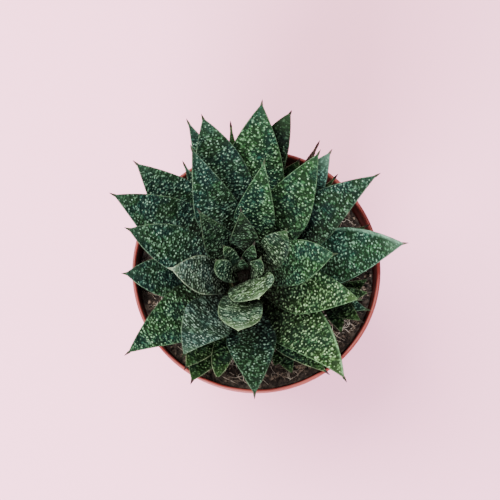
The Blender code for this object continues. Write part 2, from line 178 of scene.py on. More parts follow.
def newGroup(name, inputs, outputs):
    # inputs and outputs are given as label: kind
    group = bpy.data.node_groups.new(name, "ShaderNodeTree")
    for direction, sockets in (("INPUT", inputs), ("OUTPUT", outputs)):
        for label, kind in sockets.items():
            group.interface.new_socket(name=label, in_out=direction, socket_type="NodeSocket" + kind)
    given = newNode(group, "GroupInput", family="Node").outputs
    return group, given, newNode(group, "GroupOutput", family="Node").inputs


patchLook = {
    "patches": (0.42, 0.64), "patchDetail": 2.0,
    "mottle": (0.35, 0.68), "mottleDetail": 3.0, "mottleFineness": 4.3,  # times the patches' scale
    "grainDetail": 2.0,
}


def buildPatchGroup():
    # soft blotches in two sizes and a fine grain, in the piece's own space
    group, given, wanted = newGroup(
        "patchesAndGrain", {"Position": "Vector", "Patch Scale": "Float", "Grain Scale": "Float"},
        {"Patches": "Float", "Mottle": "Float", "Grain": "Float"},
    )

    def blotches(scale, detail):
        noiseOut = addNode(group, "TexNoise", Scale=scale, Detail=detail, Vector=given["Position"])
        return noiseOut["Fac"]

    patches = blotches(given["Patch Scale"], patchLook["patchDetail"])
    mottleScale = mathNode(group, "MULTIPLY", given["Patch Scale"], patchLook["mottleFineness"])
    mottle = blotches(mottleScale, patchLook["mottleDetail"])
    feed(wanted["Patches"], spread(group, patches, *patchLook["patches"]))
    feed(wanted["Mottle"], spread(group, mottle, *patchLook["mottle"]))
    feed(wanted["Grain"], blotches(given["Grain Scale"], patchLook["grainDetail"]))
    return group


mosaicLook = {
    "bendFineness": 0.6, "bendDetail": 1.0,
    "bend": (0.0022, 0.0022, 0.0),  # how far the cells are bent, in metres
    "bump": (0.60, 0.15),  # from the middle of a groove to the top of a bump
}


def buildMosaicGroup():
    # low bumps side by side with grooves between them, drawn out across the blade by the stretch; the skin
    # darkens the grooves as painted shade
    group, given, wanted = newGroup(
        "skinMosaic", {"Place": "Vector", "Scale": "Float", "Stretch": "Float"},
        {"Bumps": "Float", "Tone": "Float"},
    )
    parts = addNode(group, "SeparateXYZ", Vector=given["Place"])
    squeezed = mathNode(group, "DIVIDE", parts["Y"], given["Stretch"])
    place = addNode(group, "CombineXYZ", X=parts["X"], Y=squeezed, Z=parts["Z"])["Vector"]
    bendScale = mathNode(group, "MULTIPLY", given["Scale"], mosaicLook["bendFineness"])
    detail = mosaicLook["bendDetail"]
    bend = addNode(group, "TexNoise", Scale=bendScale, Detail=detail, Vector=place)
    bent = newNode(group, "VectorMath", {"operation": "MULTIPLY_ADD"})
    for socket, value in zip(bent.inputs, (bend["Color"], mosaicLook["bend"], place)):
        feed(socket, value)
    cells = addNode(group, "TexVoronoi", Scale=given["Scale"], Vector=bent.outputs["Vector"])
    bumps = spread(group, cells["Distance"], *mosaicLook["bump"])
    chance = addNode(group, "SeparateColor", Color=cells["Color"])[0]
    feed(wanted["Bumps"], bumps)
    feed(wanted["Tone"], mathNode(group, "MULTIPLY", bumps, chance))
    return group


skinLook = {
    # stretches of the blade, from 0 at the stem to 1 at the tip, over which a colour comes in
    "tipLightRange": (0.05, 0.85), "smoothRange": (0.82, 1.0), "hornyRange": (0.4, 0.95),
    # painted shade: the blade darkens over the next stretch, towards the stem
    "stemShadeRange": (0.0, 0.66),
    # stretches of the painted marks
    "wartEdge": (0.05, 0.95), "marginEdge": (0.1, 0.9), "spineEdge": (0.1, 0.9),
    # shares of one colour over another
    "freshLeast": 0.4, "freshMottle": 0.6, "bluish": 0.8, "grooveShade": 0.8, "tone": 0.44, "smooth": 0.5,
    "wartGrain": 0.5, "hornyLeast": 0.4, "hornyBroken": 0.45, "stemShade": 0.9,
    # both colours on the next line are painted shade: black in the grooves between the low bumps, dark brown
    # towards the stem
    "grooveShadeColour": (0.0, 0.0, 0.0), "stemShadeColour": (0.0030, 0.0018, 0.0010),
    "roughness": 0.5, "roughMottle": 0.12, "grainHeight": 0.3,
}


def buildSkinGroup():
    # dark bumpy skin with painted shade in its grooves and towards the stem, bluish patches partly of painted
    # sheen, fresh patches that come in as painted light towards the tip, pale warts, a horny margin and a
    # brown spine
    colours = dict.fromkeys(("Marks", "Skin", "Bluish", "Fresh", "Wart", "Margin", "Spine", "Tip"), "Color")
    values = dict.fromkeys(("Along", "Patches", "Mottle", "Bumps", "Tone", "Grain", "Horny"), "Float")
    group, given, wanted = newGroup(
        "leafSkin", {**colours, **values}, {"Color": "Color", "Roughness": "Float", "Height": "Float"},
    )
    look = skinLook
    wart, margin, spine = addNode(group, "SeparateColor", Color=given["Marks"])

    def times(first, second, clamp=False):
        return mathNode(group, "MULTIPLY", first, second, clamp=clamp)

    def mix(factor, first, second):
        return mixColour(group, factor, first, second)

    def rise(value, name):
        return spread(group, value, *look[name])

    mottled = mathNode(group, "MULTIPLY_ADD", given["Mottle"], look["freshMottle"], look["freshLeast"])
    # the fresh green is the skin's own, mottled, but it comes in towards the tip as painted light, for the
    # tips catch more light than the base
    skin = mix(times(mottled, rise(given["Along"], "tipLightRange")), given["Skin"], given["Fresh"])
    # the bluish patches are partly a waxy bloom and partly painted sheen
    skin = mix(times(given["Patches"], look["bluish"]), skin, given["Bluish"])
    # painted shade: the skin between the low bumps is darkened towards black
    grooveShade = mix(look["grooveShade"], skin, look["grooveShadeColour"])
    raised = mix(times(given["Tone"], look["tone"]), skin, given["Wart"])
    skin = mix(given["Bumps"], grooveShade, raised)
    # the last stretch before the spine is smooth
    skin = mix(times(rise(given["Along"], "smoothRange"), look["smooth"]), skin, given["Tip"])
    pearl = mix(times(given["Grain"], look["wartGrain"]), given["Wart"], skin)
    colour = mix(rise(wart, "wartEdge"), skin, pearl)
    # the pale margin is broken, and strongest towards the tip
    nearTip = mathNode(group, "ADD", rise(given["Along"], "hornyRange"), look["hornyLeast"])
    horny = times(times(rise(margin, "marginEdge"), given["Horny"]), nearTip, clamp=True)
    horny = times(horny, mathNode(group, "ADD", given["Mottle"], look["hornyBroken"]), clamp=True)
    colour = mix(horny, colour, given["Margin"])
    colour = mix(rise(spine, "spineEdge"), colour, given["Spine"])
    # painted shade: the colour darkens towards the stem, where little light comes down
    inward = mathNode(group, "SUBTRACT", 1.0, rise(given["Along"], "stemShadeRange"))
    feed(wanted["Color"], mix(times(inward, look["stemShade"]), colour, look["stemShadeColour"]))
    rough = mathNode(group, "MULTIPLY_ADD", given["Mottle"], look["roughMottle"], look["roughness"])
    feed(wanted["Roughness"], rough)
    relief = mathNode(group, "ADD", given["Bumps"], given["Mottle"])
    height = mathNode(group, "MULTIPLY_ADD", given["Grain"], look["grainHeight"], relief)
    feed(wanted["Height"], height)
    return group


patchGroup = buildPatchGroup()
mosaicGroup = buildMosaicGroup()
skinGroup = buildSkinGroup()


def ownPlace(tree):
    return newNode(tree, "TexCoord").outputs["Object"]


def startMaterial(name, patchScale, grainScale):
    material = bpy.data.materials.new(name)
    material.use_nodes = True
    tree = material.node_tree
    patches = addNode(
        tree, "Group", {"node_tree": patchGroup},
        Position=ownPlace(tree), Patch_Scale=patchScale, Grain_Scale=grainScale,
    )
    return material, tree, patches


def dressShader(tree, colour, roughness, specular=0.5, bump=None):
    # bump is a height, a strength and a depth in millimetres
    sockets = tree.nodes["Principled BSDF"].inputs
    feed(sockets["Base Color"], colour)
    feed(sockets["Roughness"], roughness)
    sockets["Specular IOR Level"].default_value = specular
    if bump:
        normal = addNode(tree, "Bump", Height=bump[0], Strength=bump[1], Distance=bump[2] * mm)
        feed(sockets["Normal"], normal["Normal"])


def fasten(piece, node=None):
    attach(piece, "root")
    if node:
        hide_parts(node)


# Leaf skins

usualSkin = {
    "spine": (0.022, 0.030, 0.016), "patches": (95.0, 1700.0), "specular": 0.04, "bump": (0.8, 0.5),
    "scale": 740.0, "stretch": 1.3,  # of the low bumps
    "horny": 0.45,  # how plain the pale margin is
}
skinColours = ("Skin", "Fresh", "Bluish", "Wart", "Margin", "Tip")
leafSkins = {
    # the colours of skinColours, in that order, then what isn't usual
    "dark": (
        (0.005, 0.0195, 0.0088), (0.017, 0.055, 0.018), (0.0062, 0.03, 0.027), (0.138, 0.23, 0.156),
        (0.1, 0.16, 0.095), (0.013, 0.032, 0.018), {},
    ),
    # a darker copy of the skin, as painted shade for the leaves and the growing tip that lie in shadow
    "shade": (
        (0.0028, 0.0105, 0.0034), (0.007, 0.023, 0.0062), (0.004, 0.013, 0.009), (0.07, 0.12, 0.07),
        (0.06, 0.09, 0.05), (0.012, 0.028, 0.012),
        {"spine": (0.012, 0.011, 0.008), "scale": 700.0, "stretch": 1.6},
    ),
    "bright": (
        (0.0064, 0.029, 0.0096), (0.026, 0.082, 0.023), (0.009, 0.044, 0.034), (0.172, 0.305, 0.17),
        (0.1, 0.175, 0.09), (0.013, 0.034, 0.015), {},
    ),
    "lush": (
        (0.01, 0.043, 0.0125), (0.044, 0.108, 0.025), (0.018, 0.062, 0.028), (0.275, 0.42, 0.21),
        (0.105, 0.2, 0.095), (0.046, 0.086, 0.03), {"stretch": 1.4, "horny": 0.5},
    ),
    "fine": (
        (0.006, 0.0185, 0.007), (0.018, 0.042, 0.014), (0.009, 0.032, 0.02), (0.17, 0.24, 0.145),
        (0.105, 0.155, 0.085), (0.02, 0.052, 0.017), {"scale": 850.0, "stretch": 2.6, "horny": 0.3},
    ),
    "slate": (
        (0.026, 0.062, 0.039), (0.064, 0.13, 0.072), (0.046, 0.112, 0.094), (0.29, 0.41, 0.325),
        (0.19, 0.27, 0.17), (0.06, 0.115, 0.072), {"scale": 850.0, "stretch": 2.4, "horny": 0.35},
    ),
    "pale": (
        (0.027, 0.064, 0.027), (0.07, 0.13, 0.048), (0.046, 0.104, 0.072), (0.275, 0.385, 0.25),
        (0.25, 0.35, 0.19), (0.1, 0.16, 0.078),
        {"spine": (0.16, 0.23, 0.12), "scale": 950.0, "stretch": 3.4, "horny": 0.25},
    ),
    "silver": (
        (0.021, 0.044, 0.024), (0.052, 0.092, 0.047), (0.038, 0.082, 0.07), (0.25, 0.325, 0.245),
        (0.26, 0.33, 0.21), (0.095, 0.135, 0.086),
        {"spine": (0.16, 0.2, 0.13), "scale": 850.0, "stretch": 2.2},
    ),
    "teal": (
        (0.028, 0.074, 0.05), (0.04, 0.096, 0.06), (0.042, 0.108, 0.082), (0.12, 0.24, 0.175),
        (0.11, 0.2, 0.14), (0.066, 0.13, 0.09),
        {"spine": (0.05, 0.045, 0.035), "stretch": 1.0, "horny": 0.4},
    ),
    "sea": (
        (0.005, 0.024, 0.0095), (0.024, 0.085, 0.03), (0.014, 0.058, 0.04), (0.155, 0.275, 0.185),
        (0.095, 0.185, 0.12), (0.06, 0.11, 0.07), {"spine": (0.06, 0.055, 0.04), "horny": 0.7},
    ),
    "olive": (
        (0.0044, 0.0155, 0.0038), (0.014, 0.038, 0.0072), (0.006, 0.026, 0.016), (0.098, 0.165, 0.074),
        (0.12, 0.15, 0.08), (0.015, 0.042, 0.011), {"spine": (0.02, 0.015, 0.012), "horny": 0.5},
    ),
    "dry": (
        (0.024, 0.014, 0.012), (0.05, 0.033, 0.026), (0.016, 0.01, 0.009), (0.08, 0.055, 0.042),
        (0.06, 0.042, 0.032), (0.04, 0.026, 0.02),
        {"spine": (0.03, 0.018, 0.015), "scale": 700.0, "stretch": 1.0, "horny": 0.4},
    ),
}


def makeSkin(name, colours, changes):
    look = {**usualSkin, **changes}
    material, tree, patches = startMaterial(name + "Skin", *look["patches"])
    marks = addNode(tree, "Attribute", {"attribute_name": "marks"})
    place = addNode(tree, "Attribute", {"attribute_name": "place"})
    mosaic = addNode(
        tree, "Group", {"node_tree": mosaicGroup},
        Place=place["Vector"], Scale=look["scale"], Stretch=look["stretch"],
    )
    skin = addNode(
        tree, "Group", {"node_tree": skinGroup},
        Marks=marks["Color"], Along=marks["Alpha"], Patches=patches["Patches"], Mottle=patches["Mottle"],
        Grain=patches["Grain"], Bumps=mosaic["Bumps"], Tone=mosaic["Tone"], Horny=look["horny"],
        Spine=look["spine"], **dict(zip(skinColours, colours)),
    )
    dressShader(tree, skin["Color"], skin["Roughness"], look["specular"], (skin["Height"], *look["bump"]))
    return material


skins = {name: makeSkin(name, colours, changes) for name, (*colours, changes) in leafSkins.items()}
print("leaf skins made:", len(skins))


# Leaves: the same outline, section and bend as the solids, in a fine mesh with domed warts on both faces

leafShape = {
    "widestAt": 0.5, "bluntWidestAt": 0.4,  # from the tip, as a share of the length
    "tipPower": 1.3, "bluntTipPower": 3.4,
    "baseWidth": 0.28, "basePower": 1.6,  # at the stem, as a share of the width
    "thickness": 2.8, "baseThinning": 0.3, "baseThinningEnd": 0.35,
    "tipThinning": 0.7, "tipThinningPower": 2.5, "keelPower": 1.84,
    "marginThickness": 0.4, "marginBulge": 0.8,
    "cup": 0.035, "cupPower": 0.8, "spring": 0.35, "arch": 0.03, "rollEnd": 0.9,
    "spineLength": 2.6, "bluntSpineCut": 0.7, "spineHalfWidth": 0.45,
    "spineRings": (0.25, 0.5, 0.75, 0.92), "spinePower": 0.75, "spineBrownFrom": 0.975,
    "step": 1.0,  # size of the mesh faces
    "nearMargin": (1, 0.97, 0.92, 0.84, 0.72),  # the closer lines beside the margin
    "underShift": 0.05, "leafShift": 0.011,  # move the low bumps on from face to face and leaf to leaf
}

wartStyles = {
    # gaps along and across, radius, height, length over width at the stem and the tip, paleness, turn
    "pearls": (1.65, 1.7, 0.48, 0.5, (1.9, 1.05), 1.0, 0.4),
    "dense": (1.55, 1.6, 0.45, 0.44, (2.4, 1.15), 0.95, 0.4),
    "ripples": (1.15, 1.3, 0.37, 0.36, (2.3, 1.5), 0.9, 0.3),
    "ridges": (0.85, 1.05, 0.29, 0.3, (2.8, 2.0), 0.95, 0.25),
    "specks": (1.6, 1.6, 0.40, 0.26, (1.5, 1.1), 0.8, 0.4),
    "bare": (2.4, 2.4, 0.38, 0.18, (1.4, 1.1), 0.6, 0.4),
}


def leafForm(
    width, skin, warts, bow=0, roll=0, blunt=0, widest=None, spring=0, edge=0.3, band=0,
    thick=leafShape["thickness"], base=leafShape["baseWidth"],
):
    # edge is the breadth of the pale margin, and band that of a smooth left margin
    usual = leafShape["widestAt"] + (leafShape["bluntWidestAt"] - leafShape["widestAt"]) * blunt
    return {
        "width": width, "skin": skin, "warts": warts, "bow": bow, "roll": math.radians(roll),
        "blunt": blunt, "widest": widest or usual, "spring": spring, "edge": edge, "band": band,
        "thick": thick, "base": base,
        "spine": leafShape["spineLength"] * (1 - leafShape["bluntSpineCut"] * blunt),
    }


leafForms = {
    "leaf_low_1": leafForm(17, "olive", "specks", bow=-1.5),
    "leaf_low_2": leafForm(20, "dark", "specks", bow=-0.7, blunt=0.3),
    "leaf_low_3": leafForm(17, "olive", "specks", bow=-1.2, blunt=0.3),
    "leaf_low_4": leafForm(16, "olive", "specks", bow=1.5, blunt=0.5, thick=2.2),
    "leaf_low_5": leafForm(11, "dark", "specks", thick=2.2),
    "leaf_low_6": leafForm(10, "olive", "specks", thick=2.2),
    "leaf_low_7": leafForm(9, "olive", "bare", thick=2.2),
    "leaf_low_8": leafForm(9, "dry", "bare", thick=1.6),
    "leaf_low_9": leafForm(15, "olive", "dense", blunt=0.3),
    "leaf_low_10": leafForm(10, "olive", "specks", bow=-1.2, blunt=0.8, thick=2.2),
    "leaf_low_11": leafForm(13, "olive", "bare", thick=2.2),
    "leaf_outer_1": leafForm(30, "dark", "pearls", bow=-2.2),
    "leaf_outer_2": leafForm(27, "sea", "pearls", bow=2.8, blunt=0.15, band=2.6),
    "leaf_outer_3": leafForm(26, "lush", "pearls", bow=4.3, widest=0.62, band=1.6),
    "leaf_outer_4": leafForm(23.5, "dark", "dense", bow=1, widest=0.56),
    "leaf_outer_5": leafForm(28, "bright", "dense", bow=-2, widest=0.64),
    "leaf_outer_6": leafForm(18, "shade", "specks", bow=5, roll=-12, blunt=0.6),
    "leaf_outer_7": leafForm(20, "teal", "bare", blunt=0.25),
    "leaf_outer_8": leafForm(18, "dark", "dense", bow=-2.5),
    "leaf_middle_1": leafForm(29, "dark", "pearls", bow=-3.2),
    "leaf_middle_2": leafForm(23.5, "lush", "pearls", bow=0.9, blunt=0.1, widest=0.6),
    "leaf_middle_3": leafForm(23, "dark", "pearls", bow=3),
    "leaf_middle_4": leafForm(30, "bright", "pearls", bow=0.8, blunt=0.15),
    "leaf_middle_5": leafForm(24, "slate", "ripples", bow=-2.5, widest=0.55),
    "leaf_middle_6": leafForm(27, "dark", "pearls", bow=-2, blunt=0.2),
    "leaf_upper_1": leafForm(21, "dark", "dense", bow=-1, blunt=0.3, spring=0.2),
    "leaf_upper_2": leafForm(21, "bright", "ripples", bow=1.5, blunt=0.3, spring=0.4),
    "leaf_upper_3": leafForm(23.5, "bright", "pearls", bow=-0.6, blunt=0.1, spring=0.2),
    "leaf_upper_4": leafForm(21, "dark", "dense", spring=0.2),
    "leaf_upper_5": leafForm(19, "bright", "dense", spring=0.3),
    "leaf_inner_1": leafForm(18, "silver", "ripples", bow=1.2, blunt=0.3, spring=0.6, base=0.6, edge=0.9),
    "leaf_inner_2": leafForm(20, "pale", "ridges", blunt=1.1, spring=0.8, base=0.6, edge=0.6),
    "leaf_inner_3": leafForm(15, "shade", "ripples", bow=0.5, spring=0.6, base=0.5),
    "leaf_inner_4": leafForm(14, "fine", "ripples", bow=-2, blunt=0.5, spring=0.8, base=0.5),
    "leaf_inner_5": leafForm(13, "shade", "ripples", bow=-1, spring=0.7, base=0.5),
}


def readEnds(node):
    # azimuth and reach of a leaf's tip from the stem's axis, its height, and where the blade starts
    solid = next(o for o in bpy.data.objects if o.name == node and o.type == "MESH")
    points = np.array([solid.matrix_world @ corner.co for corner in solid.data.vertices])
    flat = points[:, :2] - stemAxis
    tip = np.argmax(np.hypot(flat[:, 0], flat[:, 1]))
    azimuth = math.atan2(flat[tip, 1], flat[tip, 0])
    outward = np.array([math.cos(azimuth), math.sin(azimuth)])
    along = flat @ outward
    sideways = flat @ np.array([-outward[1], outward[0]])
    middle = np.where(np.abs(sideways) < 0.05 * mm)[0]  # the points on the blade's middle line
    start = middle[np.argmin(along[middle])]
    return {
        "azimuth": azimuth, "reach": along[tip], "tip": points[tip, 2],
        "start": along[start], "foot": points[start, 2], "centre": stemAxis,
    }


def unit(vectors):
    return vectors / np.linalg.norm(vectors, axis=1, keepdims=True)


def bladeFrame(form, share):
    # point, direction, side and up of the blade's middle line; share is 0 at the stem and 1 at the spine
    start = np.array([form["start"], 0, form["foot"]])
    end = np.array([form["reach"], 0, form["tip"]])
    swing = leafShape["spring"] * form["spring"]
    bend = start + (end - start) * np.array([0.5 - swing, 0, 0.5 + swing])
    bend[2] += leafShape["arch"] * form["reach"]
    length = math.hypot(end[0] - start[0], end[2] - start[2])
    t = (share * (1 - form["spine"] * mm / length))[:, None]
    point = start * (1 - t) ** 2 + bend * 2 * t * (1 - t) + end * t ** 2
    direction = (bend - start) * 2 * (1 - t) + (end - bend) * 2 * t
    point[:, 1] += form["bow"] * mm * 4 * t[:, 0] * (1 - t[:, 0])
    direction[:, 1] += form["bow"] * mm * 4 * (1 - 2 * t[:, 0])
    direction = unit(direction)
    level = unit(np.stack([-direction[:, 1], direction[:, 0], np.zeros(len(t))], axis=1))
    rolled = (form["roll"] * np.sin(math.pi / 2 * np.minimum(1, share / leafShape["rollEnd"])))[:, None]
    side = level * np.cos(rolled) + np.cross(direction, level) * np.sin(rolled)
    return point, side, np.cross(direction, side)


def halfWidth(form, share):
    fromTip = 1 - np.minimum(share, 1)
    widest = form["widest"]
    power = leafShape["tipPower"] + (leafShape["bluntTipPower"] - leafShape["tipPower"]) * form["blunt"]
    outer = 1 - np.clip(1 - fromTip / widest, 0, 1) ** power
    inward = np.clip((fromTip - widest) / (1 - widest), 0, 1) ** leafShape["basePower"]
    full = np.where(fromTip < widest, outer, 1 - (1 - form["base"]) * inward) * form["width"] / 2
    return np.maximum(leafShape["spineHalfWidth"], full) * mm


def depthUnder(form, share):
    base = 1 - leafShape["baseThinning"] * np.clip(1 - share / leafShape["baseThinningEnd"], 0, 1)
    tip = 1 - leafShape["tipThinning"] * share ** leafShape["tipThinningPower"]
    return form["thick"] * mm * base * tip


def cupRise(form, share):
    inside = np.clip(np.sin(math.pi * np.clip(share, 0, 1)), 0, 1) ** leafShape["cupPower"]
    return leafShape["cup"] * form["width"] * mm * inside


def bladeSurface(form, share, across, under=False):
    # points and outward directions; across runs from -1 to 1 between the margins
    point, side, up = bladeFrame(form, share)
    half = halfWidth(form, share)[:, None]
    cup = cupRise(form, share)[:, None]
    v = across[:, None]
    if not under:
        return point + side * half * v + up * cup * v ** 2, unit(up - side * 2 * cup * v / half)
    edge = leafShape["marginThickness"] * mm
    keel = np.maximum(0, depthUnder(form, share)[:, None] - edge)
    power = leafShape["keelPower"]
    drop = edge + keel * (1 - np.abs(v) ** power)
    slope = keel * power * np.abs(v) ** (power - 1) * np.sign(v) / half
    return point + side * half * v + up * (cup * v ** 2 - drop), unit(side * slope - up)


def bladeLength(form):
    return math.hypot(form["reach"] - form["start"], form["tip"] - form["foot"])


def bladeSkin(form):
    # the blade's closed skin: rings round the section, from the stem to the spine's point
    length = bladeLength(form)
    rows = max(8, round(length / mm / leafShape["step"]))
    columns = max(8, round(form["width"] / leafShape["step"]))
    share = np.linspace(0, 1, rows + 1)
    edge = leafShape["marginThickness"] * mm / 2
    close = np.array(leafShape["nearMargin"])
    upper = np.concatenate([close[:-1], np.linspace(close[-1], -close[-1], columns - 5), -close[-2::-1]])
    under = np.linspace(-1, 1, max(6, columns // 2) + 1)
    point, across, up = bladeFrame(form, share)
    half = halfWidth(form, share)
    cup = cupRise(form, share)
    rings = []
    for k, place in enumerate(share):
        top, _ = bladeSurface(form, np.full(len(upper), place), upper)
        bottom, _ = bladeSurface(form, np.full(len(under), place), under, under=True)
        middle = point[k] + up[k] * (cup[k] - edge)
        bulge = across[k] * (half[k] + edge * leafShape["marginBulge"])
        rings.append(np.concatenate([top, [middle - bulge], bottom, [middle + bulge]]))
    around = len(rings[0])
    last = rings[-1]
    middle = last.mean(axis=0)
    endPoint = np.array([form["reach"], 0, form["tip"]])
    for q in leafShape["spineRings"]:  # the spine, drawn in to its point
        rings.append(middle + (endPoint - middle) * q + (last - middle) * (1 - q) ** leafShape["spinePower"])
    points = np.concatenate(rings + [[endPoint]])
    index, after, quads = ringFaces(len(rings), around)
    tip = np.stack([index[-1], after[-1], np.full(around, len(points) - 1)], axis=-1)
    cap = np.stack([np.full(around - 2, index[0, 0]), index[0, 2:], index[0, 1:-1]], axis=-1)

    sideways = np.concatenate([upper, [-1.0], under, [1.0]])
    below = np.concatenate([np.zeros(len(upper)), [0.5], np.ones(len(under)), [0.5]])
    ended = len(leafShape["spineRings"])
    halves = np.concatenate([half, np.full(ended, half[-1])])[:, None]
    shares = np.concatenate([share, np.ones(ended)])[:, None]
    brownFrom = leafShape["spineBrownFrom"]
    brown = np.clip((shares - brownFrom) / (1 - brownFrom), 0, 1) ** 2
    breadth = np.where(sideways > 0, max(form["edge"], form["band"]), form["edge"])
    margin = np.clip(1 - halves / mm * (1 - np.abs(sideways)) / breadth, 0, 1)
    face = below * leafShape["underShift"] + form["shift"]
    marks = markRows(0, margin, brown, shares, shares * length, halves * sideways, face)
    marks = np.vstack([marks, (0, 0, 1, 1, length, 0, form["shift"])])
    return points, quads, np.concatenate([tip, cap]), marks


wartPattern = {
    "firstRow": 1.8, "lastRow": 0.955,  # from the stem, and as a share of the length
    "underSpacing": 1.5, "underStrength": 0.7,  # times those of the upper face
    "clear": 0.5, "bandBare": 0.7,  # bare skin at the margins, and the bare share of a smooth band
    "youngFrom": 0.8, "youngLoss": 1.4,  # the warts shrink over the last stretch
    "rowWave": 0.5, "waveFineness": 0.55, "slip": 0.15, "sideSlip": 0.17, "missing": 0.05,
    "size": (0.66, 0.62), "tone": (0.25, 0.75), "tonePower": 1.8,  # the least, and what a strong wart adds
    "rowDraw": (0.92, 1.08), "heightDraw": (0.7, 1.1), "longDraw": (0.85, 1.2), "leastLong": 0.8,
    "stretchPace": 1.5, "gapStretch": 0.2, "longPower": 0.75, "shortPower": 0.3,  # stretched over the blade
    "edgeGap": 1.1, "edgeInset": 0.32, "edgeRadius": 0.28, "edgeHeight": 0.14, "edgeTone": (0.1, 0.55),
    "edgeFrom": 2, "edgeTo": 0.97, "edgeSlip": 0.2, "edgeDraw": (0.7, 1.2),
    "alongLimits": (0.005, 0.985), "acrossLimit": 0.97,  # no dome hangs over the blade's edge
}
wartDome = {
    # the sides, then each ring's reach, rise and paleness, out from the dome's top
    "upper": {"sides": 6, "reach": (0.5, 0.9, 1.2), "rise": (0.86, 0.36, -0.22), "tone": (0.9, 0.35, 0.0)},
    "under": {"sides": 5, "reach": (0.6, 1.2), "rise": (0.8, -0.22), "tone": (0.8, 0.0)},
}


def wartSeeds(form, rng, under):
    # rows of warts across the blade, jittered, then small pearls along the margins
    # each seed is (share, across, radius along, radius across, height, turn, paleness)
    rowGap, gapAcross, radius, rise, (stemStretch, tipStretch), bright, turn = wartStyles[form["warts"]]
    pattern = wartPattern
    length = bladeLength(form) / mm
    wide = pattern["underSpacing"] if under else 1.0
    seeds = []
    row = 0
    s = pattern["firstRow"]
    while s < length * pattern["lastRow"]:
        share = s / length
        stretch = stemStretch + (tipStretch - stemStretch) * min(1, share * pattern["stretchPace"])
        gap = gapAcross * wide * (1 + pattern["gapStretch"] * (stretch - 1))
        room = float(halfWidth(form, np.array([share]))[0]) / mm - pattern["clear"]
        bare = room - pattern["bandBare"] * form["band"]
        count = int(2 * room / gap)
        young = 1 - pattern["youngLoss"] * max(0, share - pattern["youngFrom"])
        for i in range(count + 1):
            x = (i - count / 2 + 0.5 * (row % 2) - 0.25) * gap + rng.normal(0, pattern["sideSlip"] * gap)
            if x < -room or x > bare or rng.random() < pattern["missing"]:
                continue
            strong = rng.random()
            size = radius * (pattern["size"][0] + pattern["size"][1] * strong) * young
            long = size * stretch ** pattern["longPower"] * rng.uniform(*pattern["longDraw"])
            wave = pattern["rowWave"] * math.sin(x * pattern["waveFineness"] + row)
            along = s + rng.normal(0, pattern["slip"] * rowGap) + wave
            if room - abs(x) < long:
                long = max(size * pattern["leastLong"], room - abs(x))
            height = rise * rng.uniform(*pattern["heightDraw"]) * young
            tone = pattern["tone"][0] + pattern["tone"][1] * strong ** pattern["tonePower"]
            tone *= bright * young ** 0.5
            short = size / stretch ** pattern["shortPower"]
            seeds.append((along / length, x, short, long, height, rng.normal(0, turn), tone))
        s += rowGap * wide * rng.uniform(*pattern["rowDraw"])
        row += 1
    for s in np.arange(pattern["edgeFrom"], length * pattern["edgeTo"], pattern["edgeGap"] * wide):
        for side in (-1,) if form["band"] else (-1, 1):
            share = (s + rng.normal(0, pattern["edgeSlip"])) / length
            x = side * (float(halfWidth(form, np.array([share]))[0]) / mm - pattern["edgeInset"])
            size = pattern["edgeRadius"] * rng.uniform(*pattern["edgeDraw"])
            seeds.append((share, x, size, size, pattern["edgeHeight"], 0, rng.uniform(*pattern["edgeTone"])))
    return np.array(seeds)


def wartDomes(form, rng, under):
    seeds = wartSeeds(form, rng, under)
    dome = wartDome["under" if under else "upper"]
    weaker = wartPattern["underStrength"] if under else 1
    length = bladeLength(form)
    sides = dome["sides"]
    turn = roundTurns(sides)
    ringAlong = np.concatenate([[0], np.outer(dome["reach"], np.cos(turn)).ravel()])
    ringAcross = np.concatenate([[0], np.outer(dome["reach"], np.sin(turn)).ravel()])
    heights = np.concatenate([[1], np.repeat(dome["rise"], sides)])
    tones = np.concatenate([[1], np.repeat(dome["tone"], sides)])
    a = ringAlong * seeds[:, 2:3]
    b = ringAcross * seeds[:, 3:4]
    cos, sin = np.cos(seeds[:, 5:6]), np.sin(seeds[:, 5:6])
    share = seeds[:, 0:1] + (a * cos - b * sin) * mm / length
    share = np.clip(share, *wartPattern["alongLimits"]).ravel()
    x = (seeds[:, 1:2] + a * sin + b * cos).ravel() * mm
    limit = wartPattern["acrossLimit"]
    v = np.clip(x / halfWidth(form, share), -limit, limit)
    surface, outward = bladeSurface(form, share, v, under)
    lift = (seeds[:, 4:5] * heights * weaker).ravel() * mm
    points = surface + outward * lift[:, None]
    first = (np.arange(len(seeds)) * len(heights))[:, None, None]
    ring, after, bands = ringFaces(len(dome["reach"]), sides, 1, down=True)
    fan = np.stack([np.zeros(sides, dtype=int), ring[0], after[0]], axis=-1)
    if under:
        fan = fan[:, ::-1]
        bands = bands[:, ::-1]
    tone = (seeds[:, 6:7] * weaker * tones).ravel()
    face = (leafShape["underShift"] if under else 0) + form["shift"]
    marks = markRows(tone, 0, 0, share, share * length, x, face)
    return points, (first + bands).reshape(-1, 4), (first + fan).reshape(-1, 3), marks


def placeBlade(form, points):
    cos, sin = math.cos(form["azimuth"]), math.sin(form["azimuth"])
    x = points[:, 0] * cos - points[:, 1] * sin + form["centre"][0]
    y = points[:, 0] * sin + points[:, 1] * cos + form["centre"][1]
    return np.stack([x, y, points[:, 2]], axis=1)


def wholeBlade(form, seed):
    rng = np.random.default_rng(seed)
    form = dict(form, shift=seed * leafShape["leafShift"])
    parts = [bladeSkin(form)] + [wartDomes(form, rng, under) for under in (False, True)]
    points, quads, triangles, marks = joinArrays(parts)
    return placeBlade(form, points), quads, triangles, marks


faceCount = 0
for number, (node, form) in enumerate(leafForms.items()):
    form.update(readEnds(node))
    blade = wholeBlade(form, 100 + number)
    fasten(makePiece(node + "_blade", blade, skins[form["skin"]]), node)
    faceCount += 2 * len(blade[1]) + len(blade[2])
print("leaves made:", len(leafForms), "with", faceCount, "triangles")


# Crown: the growing tip and the youngest leaves

